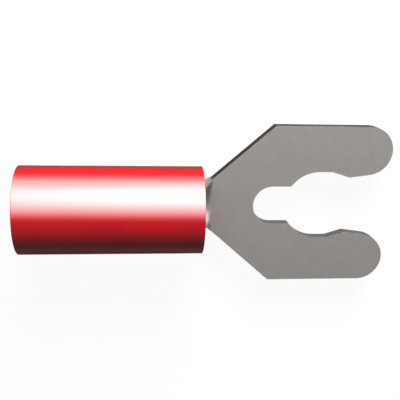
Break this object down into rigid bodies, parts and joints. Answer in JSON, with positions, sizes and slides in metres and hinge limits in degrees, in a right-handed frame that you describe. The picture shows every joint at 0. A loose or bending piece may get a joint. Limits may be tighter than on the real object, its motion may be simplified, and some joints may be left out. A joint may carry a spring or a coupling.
{
  "type": "fork terminal",
  "caption": "Insulated fork terminal: a flat stamped fork whose throat snaps round a stud, with a rolled wire barrel inside a moulded red sleeve, crimped onto a stripped wire.",
  "frame": {"origin": "the stud's axis on the underside of the tongue", "axes": "+X along the terminal towards the fork's open end, +Z square to the tongue on the side where the barrel is rolled, +Y across the fork"},
  "size_m": [0.0211, 0.0094, 0.0049],
  "materials": {
    "tinned_metal": "satin",
    "red_vinyl": "gloss"
  },
  "bodies": {
    "root": {"fork_terminal": "tinned_metal", "insulating_sleeve": "red_vinyl"}
  },
  "joints": []
}
